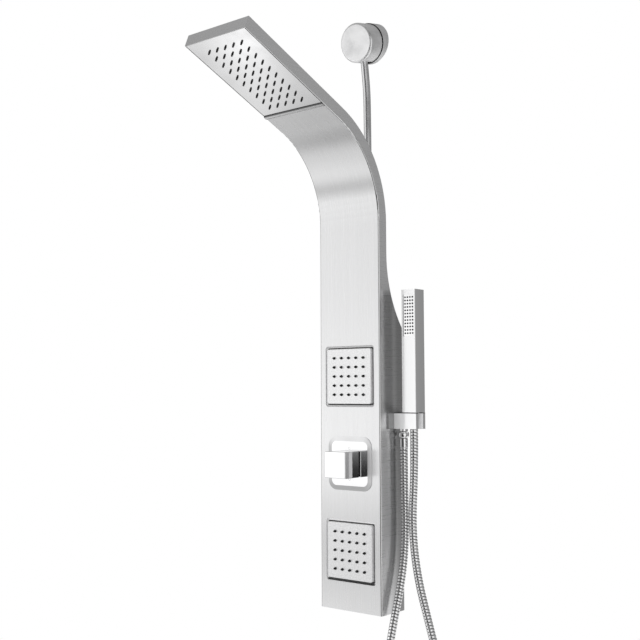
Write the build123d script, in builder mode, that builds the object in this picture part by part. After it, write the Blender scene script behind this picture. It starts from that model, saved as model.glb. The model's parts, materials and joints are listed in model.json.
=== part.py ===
from build123d import *
import math
import os

# Rainfall shower column: a folded stainless panel that curls over into a rain
# head, with two swivelling body jets, a diverter, a stick handset and a hose.
# Frame: X to the right, Y into the wall, Z up.  The origin lies on the wall, at
# the centre of the upper wall bracket's two screw holes.  All sizes are in mm.

os.makedirs("parts", exist_ok=True)

# ---------------------------------------------------------------- driving sizes
# Panel shell: one folded sheet with a face, two side returns and a curled arm.
panel_width = 148.0
sheet = 1.2
box_depth = 73.7
wall_gap = 10.0
arm_depth = 24.3
panel_foot = -525.4
bend_radius = 2.2
arm_bend_start = 228.0
arm_bend_radius = 189.7
head_rise = 22.3
head_length = 275.0
flare_radius = 230.0
flare_foot = 24.0
cover_foot = 154.0
cover_lip = 6.0

# Rain head
rain_start = 48.0
trim_width = 5.0
trim_proud = 2.8
trim_overlap = 1.6
trim_foot = 8.0
rain_pitch_x = 19.8
rain_pitch_y = 18.9
rain_columns = 5
rain_rows = 10
rain_grid_place = 160.3
rain_hole_radius = 2.2
rain_tip_radius = 1.6
rain_tip_proud = 4.8
rain_side_gap = 1.6
rain_plate_inset = 0.3
rain_rim = 9.0
rain_chamber_depth = 10.0
rain_chamber_wall = 2.0
rain_inlet_x = 26.0
rain_inlet_width = 20.0
rain_inlet_length = 24.0
rain_inlet_height = 8.5
rain_inlet_radius = 3.7
rain_inlet_reach = 8.0
rain_hose_inward = 16.8
rain_hose_arm_inward = 10.0

# Swivelling body jets
jet_heights = {"upper": -72.0, "lower": -411.0}
jet_opening_x = 120.5
jet_opening_z = 119.5
jet_opening_corner = 6.0
jet_plate_x = 108.0
jet_plate_z = 107.5
jet_plate_corner = 4.0
jet_plate_sheet = 1.0
jet_plate_rim = 8.0
jet_proud = 3.0
jet_pitch = 18.0
jet_count = 5
jet_hole_radius = 2.9
jet_tip_radius = 1.8
jet_tip_proud = 3.6
jet_tray_depth = 32.5
jet_tray_wall = 2.0
jet_tray_flange = 6.0
jet_pivot_depth = 21.7
jet_ball_radius = 11.0
jet_liner_wall = 2.5
jet_liner_half = 7.0
jet_socket_radius = 18.0
jet_socket_reach = 6.0
jet_neck_radius = 6.5
jet_nut_flats = 30.0
jet_nut_height = 7.0
jet_elbow_drop = 26.0

# Diverter
diverter_height = -242.0
escutcheon_x = 106.0
escutcheon_z = 104.0
escutcheon_corner = 20.0
escutcheon_thickness = 2.0
escutcheon_bevel = 9.0
escutcheon_edge = 0.9
knob_size = 51.0
knob_length = 43.0
knob_gap = 2.3
knob_edge = 1.4
knob_skirt_radius = 19.0
stem_radius = 5.0
stem_reach = 24.0
cartridge_radius = 16.0
cartridge_depth = 26.0
diverter_hole_radius = 17.5
locknut_flats = 44.0
locknut_height = 6.0
manifold_x = 76.0
manifold_depth = 30.0
manifold_z = 52.0
port_radius = 6.5
port_height = 16.0
port_x = 26.0
grub_radius = 2.0
grub_length = 9.0

# Handset, its holder and the water outlet
holder_height = -158.25
holder_x = 54.0
holder_size = 31.5
holder_flange = 3.0
holder_flange_front = 18.4
holder_rear_gap = 10.7
holder_slot = 16.4
handset_size = 31.5
handset_length = 237.6
handset_wall = 2.0
handset_edge = 1.0
handset_cap = 4.0
spray_x = 24.0
spray_z = 82.0
spray_depth = 1.6
spray_top_gap = 9.3
spray_offset = 1.5
spray_pitch_x = 5.7
spray_pitch_z = 6.35
spray_columns = 4
spray_rows = 12
spray_hole_radius = 1.8
spray_tip_radius = 1.2
spray_tip_proud = 1.2
cone_nut_top = 11.3
cone_nut_foot = 9.3
outlet_x = 88.0
outlet_neck_radius = 8.5
outlet_neck_height = 4.5
outlet_nut_radius = 10.5
outlet_nut_height = 14.5
ferrule_radius = 8.0
ferrule_height = 17.0
outlet_elbow_x = 56.0
outlet_pipe_radius = 7.0

# Shower hose
hose_diameter = 15.3

# Water supply from the wall
# The drum leans: its front looks 12 degrees down, and the tube leaves at right
# angles to it.
supply_height = 608.5
supply_thread_radius = 9.3
supply_thread_length = 12.0
supply_body_radius = 13.5
supply_elbow_depth = 36.5
supply_branch = 26.0
supply_tube_diameter = 15.0
supply_straight = 14.0
drum_lean = 12.0
drum_radius = 39.5
drum_reach = 21.4
drum_length = 37.3
drum_wall = 2.0
drum_edge = 5.0
drum_seam = 1.4
spigot_depth = 7.0
wall_flange_radius = 41.2
wall_flange_edge = 2.0

# Inner hoses and their union nuts
inner_hose_diameter = 12.0
union_flats = 20.0
union_height = 12.0

# Wall brackets and the ears of the shell that hang on them
lower_bracket_height = -500.0
bracket_sheet = 2.5
bracket_x = 124.0
bracket_z = 40.0
bracket_hole_spacing = 80.0
bracket_hole_radius = 3.0
hook_x = 12.0
hook_place = 56.0
hook_reach = 19.5
hook_rise = 11.0
hook_height = -6.0
ear_sheet = 1.5
ear_depth = 15.5
ear_z = 38.0
ear_x = 27.0
ear_slot_z = 15.0
ear_slot_x = 14.0

# Clearances
fit = 0.3
free = 0.4
running = 0.1

# ------------------------------------------------------------- derived places
front_y = -(wall_gap + box_depth)
rear_y = -wall_gap
arm_rear_y = front_y + arm_depth
half_width = panel_width / 2
inner_half = half_width - sheet
bend_angle = 90.0 - head_rise
bend_center = (front_y - arm_bend_radius, arm_bend_start)
bend_rear_radius = arm_bend_radius + arm_depth
flare_rise = box_depth - arm_depth
flare_angle = math.degrees(math.acos(1 - flare_rise / flare_radius))
flare_top = flare_foot + flare_radius * math.sin(math.radians(flare_angle))
bend_cos = math.cos(math.radians(bend_angle))
bend_sin = math.sin(math.radians(bend_angle))
head_along = Vector(0, -bend_sin, bend_cos)
head_up = Vector(0, bend_cos, bend_sin)


def on_bend(radius, angle=bend_angle):
    """A point of the side view at a radius and angle of the arm's bend."""
    turn = math.radians(angle)
    return (bend_center[0] + radius * math.cos(turn), bend_center[1] + radius * math.sin(turn))


def on_head(along, inward, across=0.0):
    """A point of the head: along its underside, in from it, and across."""
    foot = on_bend(arm_bend_radius + inward)
    return (across, foot[0] - along * bend_sin, foot[1] + along * bend_cos)


def facing(depth):
    """The plane at this Y that looks out to the front, with Z up."""
    return Plane.XZ.offset(-depth)


# The head's underside: x across, y towards the tip, z outwards.
head_plane = Plane(origin=on_head(0, 0), x_dir=(1, 0, 0), z_dir=-head_up)


def save(piece, label):
    """Label a finished piece and write it as the node of the same name."""
    piece.part.label = label
    export_step(piece.part, f"parts/{label}.step")


def bar(low, high, mode=Mode.ADD):
    """A box between two opposite corners, in the builder that is open."""
    size = [high[i] - low[i] for i in range(3)]
    middle = tuple((high[i] + low[i]) / 2 for i in range(3))
    with Locations(middle):
        Box(*size, mode=mode)


# -------------------------------------------------------------- folded shell
with BuildPart() as front_shell:
    with BuildSketch(Plane.YZ) as side_view:
        with BuildLine():
            face = Line((front_y, panel_foot), (front_y, arm_bend_start))
            inner_bend = CenterArc(bend_center, arm_bend_radius, 0, bend_angle)
            outer_bend = CenterArc(bend_center, bend_rear_radius, 0, bend_angle)
            tip = on_head(head_length, 0)[1:]
            tip_top = on_head(head_length, arm_depth)[1:]
            Polyline(inner_bend @ 1, tip, tip_top, outer_bend @ 1)
            arm_rear = Line(outer_bend @ 0, (arm_rear_y, flare_top))
            flare = CenterArc((arm_rear_y + flare_radius, flare_top), flare_radius, 180, flare_angle)
            Polyline(flare @ 1, (rear_y, panel_foot), face @ 0)
        make_face()
    extrude(amount=half_width, both=True)
    fillet(front_shell.edges().filter_by(Axis.Z).group_by(Axis.Y)[0], bend_radius)
    with BuildSketch(Plane.YZ) as cavity_view:
        with BuildLine():
            inside = Line((front_y + sheet, panel_foot + sheet), (front_y + sheet, arm_bend_start))
            inside_bend = CenterArc(bend_center, arm_bend_radius + sheet, 0, bend_angle)
            tip_inside = on_head(head_length - sheet, sheet)[1:]
            over_tip = on_head(head_length - sheet, 4 * arm_depth)[1:]
            behind = (box_depth, over_tip[1])
            Polyline(inside_bend @ 1, tip_inside, over_tip, behind, (box_depth, panel_foot + sheet), inside @ 0)
        make_face()
    extrude(amount=inner_half, both=True, mode=Mode.SUBTRACT)
    # Underside opening for the rain plate
    with BuildSketch(head_plane):
        with Locations((0, (rain_start + head_length - sheet) / 2)):
            Rectangle(2 * inner_half, head_length - sheet - rain_start)
    extrude(amount=-2 * sheet, mode=Mode.SUBTRACT)
    # Openings in the face for the jets and the diverter
    with BuildSketch(facing(front_y)):
        for jet_z in jet_heights.values():
            with Locations((0, jet_z)):
                RectangleRounded(jet_opening_x, jet_opening_z, jet_opening_corner)
        with Locations((0, diverter_height)):
            Circle(diverter_hole_radius)
    extrude(amount=-2 * sheet, mode=Mode.SUBTRACT)
    # Pipe hole in the right return
    outlet_y = -holder_rear_gap - holder_size / 2
    with BuildSketch(Plane.YZ.offset(inner_half - sheet)):
        with Locations((outlet_y, holder_height)):
            Circle(outlet_pipe_radius + fit)
    extrude(amount=3 * sheet, mode=Mode.SUBTRACT)
save(front_shell, "front_shell")

with BuildPart() as arm_rear_cover:
    with BuildSketch(Plane.YZ):
        with BuildLine():
            cover_tip = head_length - sheet - fit
            skin = CenterArc(bend_center, bend_rear_radius, 0, bend_angle)
            lining = CenterArc(bend_center, bend_rear_radius - sheet, 0, bend_angle)
            Polyline(
                skin @ 1,
                on_head(cover_tip, arm_depth)[1:],
                on_head(cover_tip, arm_depth - sheet)[1:],
                lining @ 1,
            )
            Polyline(
                lining @ 0,
                (arm_rear_y - sheet, cover_foot + sheet),
                (arm_rear_y - cover_lip, cover_foot + sheet),
                (arm_rear_y - cover_lip, cover_foot),
                (arm_rear_y, cover_foot),
                skin @ 0,
            )
        make_face()
    extrude(amount=inner_half - fit, both=True)
save(arm_rear_cover, "arm_rear_cover")

# ----------------------------------------------------------------- rain head
trim_half = inner_half - fit
rain_half = inner_half - rain_side_gap
rain_near = rain_start + trim_width
rain_far = head_length - sheet - fit
rain_middle = (rain_near + rain_far) / 2
rain_length = rain_far - rain_near

with BuildPart() as rain_trim:
    # A T-section bead that closes the joint between the arm's face and the plate
    with BuildSketch(Plane(origin=on_head(rain_start, 0, trim_half), x_dir=head_along, z_dir=(-1, 0, 0))):
        with BuildLine():
            bead_low = -trim_overlap
            bead_high = trim_width + trim_overlap
            Polyline(
                (bead_high, -fit),
                (trim_width - fit, -fit),
                (trim_width - fit, trim_foot),
                (fit, trim_foot),
                (fit, -fit),
                (bead_low, -fit),
                (bead_low, -trim_proud / 2),
            )
            ThreePointArc(
                (bead_low, -trim_proud / 2), (trim_width / 2, -trim_proud), (bead_high, -trim_proud / 2)
            )
            Line((bead_high, -trim_proud / 2), (bead_high, -fit))
        make_face()
    extrude(amount=2 * trim_half)
save(rain_trim, "rain_trim")

with BuildPart() as rain_plate:
    with BuildSketch(head_plane.offset(-rain_plate_inset)):
        with Locations((0, rain_middle)):
            Rectangle(2 * rain_half, rain_length)
    extrude(amount=-rain_rim)
    with BuildSketch(head_plane.offset(-rain_plate_inset - sheet)):
        with Locations((0, rain_middle)):
            Rectangle(2 * (rain_half - sheet), rain_length - 2 * sheet)
    extrude(amount=-rain_rim, mode=Mode.SUBTRACT)
    with BuildSketch(head_plane):
        with Locations((0, rain_grid_place)):
            with GridLocations(rain_pitch_x, rain_pitch_y, rain_columns, rain_rows):
                Circle(rain_hole_radius)
    extrude(amount=-rain_rim, mode=Mode.SUBTRACT)
save(rain_plate, "rain_plate")

mat_depth = rain_plate_inset + sheet
mat_sheet = 1.5
with BuildPart() as rain_nozzle_mat:
    with BuildSketch(head_plane.offset(-mat_depth)):
        with Locations((0, rain_middle)):
            Rectangle(2 * (rain_half - sheet - fit), rain_length - 2 * (sheet + fit))
    extrude(amount=-mat_sheet)
    with BuildSketch(head_plane.offset(-mat_depth)):
        with Locations((0, rain_grid_place)):
            with GridLocations(rain_pitch_x, rain_pitch_y, rain_columns, rain_rows):
                Circle(rain_hole_radius - running)
    extrude(amount=sheet)
    with BuildSketch(head_plane.offset(-rain_plate_inset)):
        with Locations((0, rain_grid_place)):
            with GridLocations(rain_pitch_x, rain_pitch_y, rain_columns, rain_rows):
                Circle(rain_hole_radius - running)
    tip_taper = math.degrees(math.atan((rain_hole_radius - running - rain_tip_radius) / rain_tip_proud))
    extrude(amount=rain_tip_proud, taper=tip_taper)
save(rain_nozzle_mat, "rain_nozzle_mat")

chamber_front = mat_depth + mat_sheet
chamber_half = rain_half - sheet - fit
chamber_length = rain_length - 2 * (sheet + fit)
with BuildPart() as rain_chamber:
    with BuildSketch(head_plane.offset(-chamber_front)):
        with Locations((0, rain_middle)):
            Rectangle(2 * chamber_half, chamber_length)
    extrude(amount=-rain_chamber_depth)
    with BuildSketch(head_plane.offset(-chamber_front)):
        with Locations((0, rain_middle)):
            Rectangle(2 * (chamber_half - rain_chamber_wall), chamber_length - 2 * rain_chamber_wall)
    extrude(amount=-(rain_chamber_depth - rain_chamber_wall), mode=Mode.SUBTRACT)
save(rain_chamber, "rain_chamber")

inlet_near = rain_near + sheet + fit + rain_chamber_wall
chamber_top = chamber_front + rain_chamber_depth
with BuildPart() as rain_inlet:
    # A block on the chamber's back with a barb that points down the arm
    block_middle = inlet_near + rain_inlet_length / 2
    with BuildSketch(head_plane.offset(-chamber_top)):
        with Locations((rain_inlet_x, block_middle)):
            RectangleRounded(rain_inlet_width, rain_inlet_length, rain_chamber_wall)
    extrude(amount=-rain_inlet_height)
    barb_foot = on_head(inlet_near, rain_hose_inward, rain_inlet_x)
    with BuildSketch(Plane(origin=barb_foot, x_dir=(1, 0, 0), z_dir=-head_along)):
        Circle(rain_inlet_radius)
    extrude(amount=rain_inlet_reach)
save(rain_inlet, "rain_inlet")

# ----------------------------------------------------------- swivelling jets
jet_front = front_y - jet_proud
jet_floor = front_y + sheet + jet_tray_depth
jet_pivot_y = front_y + jet_pivot_depth
jet_mat_sheet = 1.2
jet_housing_front = jet_front + jet_plate_sheet + jet_mat_sheet
jet_housing_wall = 2.0
jet_rim_end = jet_front + jet_plate_rim
jet_thread_radius = 8.0
jet_bore_radius = 3.5
liner_inner = jet_ball_radius + fit
liner_outer = liner_inner + jet_liner_wall
jet_elbow_y = jet_floor + jet_tray_wall + jet_nut_height + jet_thread_radius


def make_jet(name, centre, turn):
    """One body jet: turn is +1 where its water elbow points up, -1 down."""

    def place(depth):
        return Plane.XZ.offset(-depth).shift_origin((0, depth, centre))

    inside_x = jet_plate_x - 2 * (jet_plate_sheet + fit)
    inside_z = jet_plate_z - 2 * (jet_plate_sheet + fit)
    with BuildPart() as tray:
        with BuildSketch(place(front_y + sheet)):
            rim = 2 * (jet_tray_wall + jet_tray_flange)
            RectangleRounded(jet_opening_x + rim, jet_opening_z + rim, jet_opening_corner)
        extrude(amount=-jet_tray_wall)
        with BuildSketch(place(front_y + sheet)):
            wall = 2 * jet_tray_wall
            RectangleRounded(jet_opening_x + wall, jet_opening_z + wall, jet_opening_corner)
        extrude(amount=-(jet_tray_depth + jet_tray_wall))
        with BuildSketch(place(front_y + sheet)):
            RectangleRounded(jet_opening_x, jet_opening_z, jet_opening_corner)
        extrude(amount=-jet_tray_depth, mode=Mode.SUBTRACT)
        with BuildSketch(place(jet_floor)):
            Circle(jet_thread_radius + running)
        extrude(amount=-2 * jet_tray_wall, mode=Mode.SUBTRACT)
    save(tray, f"jet_tray_{name}")

    with BuildPart() as plate:
        with BuildSketch(place(jet_front)):
            RectangleRounded(jet_plate_x, jet_plate_z, jet_plate_corner)
        extrude(amount=-jet_plate_rim)
        fillet(plate.faces().sort_by(Axis.Y)[0].edges(), jet_plate_sheet / 2)
        with BuildSketch(place(jet_front + jet_plate_sheet)):
            edge = 2 * jet_plate_sheet
            RectangleRounded(jet_plate_x - edge, jet_plate_z - edge, jet_plate_corner - jet_plate_sheet)
        extrude(amount=-jet_plate_rim, mode=Mode.SUBTRACT)
        with BuildSketch(place(jet_front)):
            with GridLocations(jet_pitch, jet_pitch, jet_count, jet_count):
                Circle(jet_hole_radius)
        extrude(amount=-2 * jet_plate_sheet, mode=Mode.SUBTRACT)
    save(plate, f"jet_plate_{name}")

    with BuildPart() as mat:
        with BuildSketch(place(jet_front + jet_plate_sheet)):
            RectangleRounded(inside_x, inside_z, jet_plate_corner - jet_plate_sheet)
        extrude(amount=-jet_mat_sheet)
        with BuildSketch(place(jet_front + jet_plate_sheet)):
            with GridLocations(jet_pitch, jet_pitch, jet_count, jet_count):
                Circle(jet_hole_radius - running)
        extrude(amount=jet_plate_sheet)
        with BuildSketch(place(jet_front)):
            with GridLocations(jet_pitch, jet_pitch, jet_count, jet_count):
                Circle(jet_hole_radius - running)
        narrowing = jet_hole_radius - running - jet_tip_radius
        extrude(amount=jet_tip_proud, taper=math.degrees(math.atan(narrowing / jet_tip_proud)))
    save(mat, f"jet_nozzle_mat_{name}")

    with BuildPart() as housing:
        with BuildSketch(place(jet_housing_front)):
            RectangleRounded(inside_x, inside_z, jet_plate_corner - jet_plate_sheet)
        extrude(amount=-(jet_rim_end - jet_housing_front))
        with BuildSketch(place(jet_rim_end)):
            Circle(jet_socket_radius)
        extrude(amount=-(jet_pivot_y + jet_socket_reach - jet_rim_end))
        with BuildSketch(place(jet_housing_front)):
            hollow = 2 * jet_housing_wall
            RectangleRounded(inside_x - hollow, inside_z - hollow, jet_plate_corner - jet_plate_sheet)
        extrude(amount=-(jet_rim_end - jet_housing_front - jet_housing_wall), mode=Mode.SUBTRACT)
        with Locations((0, jet_pivot_y, centre)):
            Sphere(liner_outer + fit, mode=Mode.SUBTRACT)
        with BuildSketch(place(jet_housing_front)):
            Circle(jet_neck_radius)
        extrude(amount=-(jet_pivot_y - jet_housing_front), mode=Mode.SUBTRACT)
    save(housing, f"jet_housing_{name}")

    with BuildPart() as liner:
        with Locations((0, jet_pivot_y, centre)):
            Sphere(liner_outer)
            Sphere(liner_inner, mode=Mode.SUBTRACT)
            Cylinder(2 * liner_outer, 2 * jet_liner_half, rotation=(90, 0, 0), mode=Mode.INTERSECT)
    save(liner, f"jet_liner_{name}")

    with BuildPart() as stud:
        with Locations((0, jet_pivot_y, centre)):
            Sphere(jet_ball_radius)
        with BuildSketch(place(jet_pivot_y)):
            Circle(jet_neck_radius)
        extrude(amount=-(jet_floor - jet_pivot_y))
        with BuildSketch(place(jet_floor)):
            Circle(jet_thread_radius + jet_liner_wall)
        extrude(amount=jet_liner_wall)
        with BuildSketch(place(jet_floor)):
            Circle(jet_thread_radius)
        extrude(amount=-(jet_elbow_y - jet_floor))
        with Locations((0, jet_elbow_y, centre)):
            Sphere(jet_thread_radius)
        with BuildSketch(Plane(origin=(0, jet_elbow_y, centre), x_dir=(1, 0, 0), z_dir=(0, 0, turn))):
            Circle(port_radius)
        extrude(amount=jet_elbow_drop)
        with BuildSketch(place(jet_pivot_y - jet_ball_radius)):
            Circle(jet_bore_radius)
        extrude(amount=-(jet_elbow_y - jet_pivot_y + jet_ball_radius), mode=Mode.SUBTRACT)
        with BuildSketch(Plane(origin=(0, jet_elbow_y, centre), x_dir=(1, 0, 0), z_dir=(0, 0, turn))):
            Circle(jet_bore_radius)
        extrude(amount=jet_elbow_drop, mode=Mode.SUBTRACT)
    save(stud, f"jet_ball_stud_{name}")

    with BuildPart() as nut:
        with BuildSketch(place(jet_floor + jet_tray_wall)):
            RegularPolygon(jet_nut_flats / 2, 6, major_radius=False)
            Circle(jet_thread_radius + running, mode=Mode.SUBTRACT)
        extrude(amount=-jet_nut_height)
    save(nut, f"jet_locknut_{name}")


make_jet("upper", jet_heights["upper"], -1)
make_jet("lower", jet_heights["lower"], 1)

# ------------------------------------------------------------------ diverter
knob_back = front_y - escutcheon_thickness - knob_gap
knob_front = knob_back - knob_length
cartridge_back = front_y + cartridge_depth
manifold_front = front_y + sheet + locknut_height
manifold_back = manifold_front + manifold_depth + port_radius
port_y = manifold_back - port_radius - 1.0
port_top = diverter_height + manifold_z / 2 + port_height
port_foot = diverter_height - manifold_z / 2 - port_height


def at_diverter(depth):
    """The front-facing plane at this Y, centred on the diverter's axis."""
    return Plane.XZ.offset(-depth).shift_origin((0, depth, diverter_height))


with BuildPart() as escutcheon:
    with BuildSketch(at_diverter(front_y)):
        RectangleRounded(escutcheon_x, escutcheon_z, escutcheon_corner)
    extrude(amount=escutcheon_edge)
    with BuildSketch(at_diverter(front_y - escutcheon_edge)):
        RectangleRounded(escutcheon_x, escutcheon_z, escutcheon_corner)
    with BuildSketch(at_diverter(front_y - escutcheon_thickness)):
        bevel = 2 * escutcheon_bevel
        RectangleRounded(escutcheon_x - bevel, escutcheon_z - bevel, escutcheon_corner - escutcheon_bevel)
    loft()
    with BuildSketch(at_diverter(front_y)):
        Circle(2 * stem_radius)
    extrude(amount=escutcheon_thickness, mode=Mode.SUBTRACT)
save(escutcheon, "diverter_escutcheon")

with BuildPart() as knob:
    with BuildSketch(at_diverter(knob_front)):
        Rectangle(knob_size, knob_size)
    extrude(amount=-knob_length)
    fillet(knob.edges(), knob_edge)
    with BuildSketch(at_diverter(knob_back)):
        Circle(stem_radius + running)
    extrude(amount=stem_reach, mode=Mode.SUBTRACT)
    grub_y = knob_back - stem_reach / 2
    with BuildSketch(Plane.XY.offset(diverter_height)):
        with Locations((0, grub_y)):
            Circle(grub_radius + running)
    extrude(amount=-knob_size, mode=Mode.SUBTRACT)
save(knob, "diverter_knob")

with BuildPart() as knob_skirt:
    with BuildSketch(at_diverter(knob_back)):
        Circle(knob_skirt_radius)
        Circle(stem_radius + running, mode=Mode.SUBTRACT)
    extrude(amount=-(knob_gap - fit))
save(knob_skirt, "knob_skirt")

with BuildPart() as stem:
    with BuildSketch(at_diverter(knob_back - stem_reach + fit)):
        Circle(stem_radius)
    extrude(amount=-(cartridge_back - sheet - knob_back + stem_reach - fit - running))
save(stem, "diverter_stem")

with BuildPart() as grub_screw:
    with BuildSketch(Plane.XY.offset(diverter_height - stem_radius - running)):
        with Locations((0, grub_y)):
            Circle(grub_radius)
    extrude(amount=-grub_length)
save(grub_screw, "knob_grub_screw")

with BuildPart() as cartridge:
    with BuildSketch(at_diverter(front_y)):
        Circle(cartridge_radius)
    extrude(amount=-cartridge_depth)
    with BuildSketch(at_diverter(front_y)):
        Circle(stem_radius + running)
    extrude(amount=-(cartridge_depth - sheet), mode=Mode.SUBTRACT)
save(cartridge, "diverter_cartridge")

with BuildPart() as diverter_locknut:
    with BuildSketch(at_diverter(front_y + sheet)):
        RegularPolygon(locknut_flats / 2, 6, major_radius=False)
        Circle(cartridge_radius + running, mode=Mode.SUBTRACT)
    extrude(amount=-locknut_height)
save(diverter_locknut, "diverter_locknut")

with BuildPart() as manifold:
    with BuildSketch(at_diverter(manifold_front)):
        RectangleRounded(manifold_x, manifold_z, 3 * sheet)
    extrude(amount=-(manifold_back - manifold_front))
    with BuildSketch(at_diverter(manifold_front)):
        Circle(cartridge_radius + running)
    extrude(amount=-(cartridge_back - manifold_front), mode=Mode.SUBTRACT)
    # Supply in, jets and rain head out, all upwards; the lower jet downwards
    with BuildSketch(Plane.XY.offset(diverter_height + manifold_z / 2)):
        with Locations((-port_x, port_y), (0, port_y), (port_x, port_y)):
            Circle(port_radius)
    extrude(amount=port_height)
    with BuildSketch(Plane.XY.offset(port_foot)):
        with Locations((0, port_y)):
            Circle(port_radius)
    extrude(amount=port_height)
    # Handset outlet: sideways, then up
    with BuildSketch(Plane.YZ.offset(manifold_x / 2)):
        with Locations((port_y, diverter_height)):
            Circle(port_radius)
    extrude(amount=outlet_elbow_x - manifold_x / 2)
    with Locations((outlet_elbow_x, port_y, diverter_height)):
        Sphere(port_radius)
    with BuildSketch(Plane.XY.offset(diverter_height)):
        with Locations((outlet_elbow_x, port_y)):
            Circle(port_radius)
    extrude(amount=port_height)
save(manifold, "diverter_manifold")

# ------------------------------------------- handset, holder and water outlet
holder_middle_y = -holder_rear_gap - holder_size / 2
holder_top = holder_height + holder_size / 2
holder_foot = holder_height - holder_size / 2
holder_right = half_width + holder_x
handset_axis_x = holder_right - handset_size / 2
handset_foot = holder_top + fit
handset_top = handset_foot + handset_length
cone_length = holder_size - fit

with BuildPart() as holder_flange_plate:
    with BuildSketch(Plane.YZ.offset(half_width)):
        flange_length = holder_size + holder_flange_front
        with Locations((holder_middle_y - holder_flange_front / 2, holder_height)):
            Rectangle(flange_length, holder_size)
        with Locations((holder_middle_y, holder_height)):
            Circle(outlet_pipe_radius + running, mode=Mode.SUBTRACT)
    extrude(amount=holder_flange)
save(holder_flange_plate, "holder_flange")

with BuildPart() as holder:
    block_left = half_width + holder_flange
    bar(
        (block_left, holder_middle_y - holder_size / 2, holder_foot),
        (holder_right, holder_middle_y + holder_size / 2, holder_top),
    )
    # Conical seat for the hose nut, open to the right for the hose to pass
    with BuildSketch(Plane.XY.offset(holder_top)):
        with Locations((handset_axis_x, holder_middle_y)):
            Circle(cone_nut_top + free)
    with BuildSketch(Plane.XY.offset(holder_foot)):
        with Locations((handset_axis_x, holder_middle_y)):
            Circle(cone_nut_foot + free)
    loft(mode=Mode.SUBTRACT)
    bar(
        (handset_axis_x, holder_middle_y - holder_slot / 2, holder_foot),
        (holder_right, holder_middle_y + holder_slot / 2, holder_top),
        mode=Mode.SUBTRACT,
    )
    # Water way: in from the panel's side, out underneath
    with BuildSketch(Plane.YZ.offset(block_left)):
        with Locations((holder_middle_y, holder_height)):
            Circle(outlet_pipe_radius + running)
    extrude(amount=outlet_pipe_radius, mode=Mode.SUBTRACT)
    with BuildSketch(Plane.XY.offset(holder_foot)):
        with Locations((outlet_x, holder_middle_y)):
            Circle(outlet_neck_radius)
    extrude(amount=-outlet_neck_height)
save(holder, "handset_holder")

with BuildPart() as outlet_elbow:
    with Locations((outlet_elbow_x, holder_middle_y, holder_height)):
        Sphere(outlet_pipe_radius)
    with BuildSketch(Plane.YZ.offset(outlet_elbow_x)):
        with Locations((holder_middle_y, holder_height)):
            Circle(outlet_pipe_radius)
    extrude(amount=block_left + outlet_pipe_radius - fit - outlet_elbow_x)
    with BuildSketch(Plane.XY.offset(holder_height)):
        with Locations((outlet_elbow_x, holder_middle_y)):
            Circle(port_radius)
    extrude(amount=-port_height)
save(outlet_elbow, "outlet_elbow")

with BuildPart() as outlet_locknut:
    with BuildSketch(Plane.YZ.offset(inner_half)):
        with Locations((holder_middle_y, holder_height)):
            RegularPolygon(outlet_pipe_radius + holder_flange, 6, major_radius=False)
            Circle(outlet_pipe_radius + running, mode=Mode.SUBTRACT)
    extrude(amount=-locknut_height)
save(outlet_locknut, "outlet_locknut")

with BuildPart() as handset_body:
    with BuildSketch(Plane.XY.offset(handset_foot)):
        with Locations((handset_axis_x, holder_middle_y)):
            RectangleRounded(handset_size, handset_size, handset_edge)
    extrude(amount=handset_length)
    with BuildSketch(Plane.XY.offset(handset_foot + handset_cap)):
        with Locations((handset_axis_x, holder_middle_y)):
            inner_size = handset_size - 2 * handset_wall
            Rectangle(inner_size, inner_size)
    extrude(amount=handset_length - 2 * handset_cap, mode=Mode.SUBTRACT)
    # Window for the spray plate in the front wall
    handset_front = holder_middle_y - handset_size / 2
    spray_middle = handset_top - spray_top_gap - spray_z / 2
    with BuildSketch(facing(handset_front)):
        with Locations((handset_axis_x, spray_middle)):
            RectangleRounded(spray_x, spray_z, handset_wall)
    extrude(amount=-2 * handset_wall, mode=Mode.SUBTRACT)
    # Threaded bore for the hose nipple
    with BuildSketch(Plane.XY.offset(handset_foot)):
        with Locations((handset_axis_x, holder_middle_y)):
            Circle(outlet_pipe_radius + running)
    extrude(amount=handset_cap, mode=Mode.SUBTRACT)
save(handset_body, "handset_body")

# The nozzles stand a little to the right of the window's middle.
spray_grid = (handset_axis_x + spray_offset, spray_middle)
with BuildPart() as spray_plate:
    with BuildSketch(facing(handset_front)):
        with Locations((handset_axis_x, spray_middle)):
            RectangleRounded(spray_x - 2 * running, spray_z - 2 * running, handset_wall)
        with Locations(spray_grid):
            with GridLocations(spray_pitch_x, spray_pitch_z, spray_columns, spray_rows):
                Circle(spray_hole_radius, mode=Mode.SUBTRACT)
    extrude(amount=-spray_depth)
save(spray_plate, "handset_spray_plate")

with BuildPart() as spray_mat:
    with BuildSketch(facing(handset_front + spray_depth)):
        with Locations((handset_axis_x, spray_middle)):
            RectangleRounded(spray_x - 2 * running, spray_z - 2 * running, handset_wall)
    extrude(amount=-spray_depth)
    with BuildSketch(facing(handset_front + spray_depth)):
        with Locations(spray_grid):
            with GridLocations(spray_pitch_x, spray_pitch_z, spray_columns, spray_rows):
                Circle(spray_hole_radius - running)
    extrude(amount=spray_depth)
    with BuildSketch(facing(handset_front)):
        with Locations(spray_grid):
            with GridLocations(spray_pitch_x, spray_pitch_z, spray_columns, spray_rows):
                Circle(spray_tip_radius)
    extrude(amount=spray_tip_proud)
save(spray_mat, "handset_nozzle_mat")

with BuildPart() as nipple:
    with BuildSketch(Plane.XY.offset(handset_foot + handset_cap)):
        with Locations((handset_axis_x, holder_middle_y)):
            Circle(outlet_pipe_radius)
            Circle(jet_bore_radius, mode=Mode.SUBTRACT)
    extrude(amount=-(handset_cap + cone_length / 2))
save(nipple, "handset_nipple")

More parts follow.
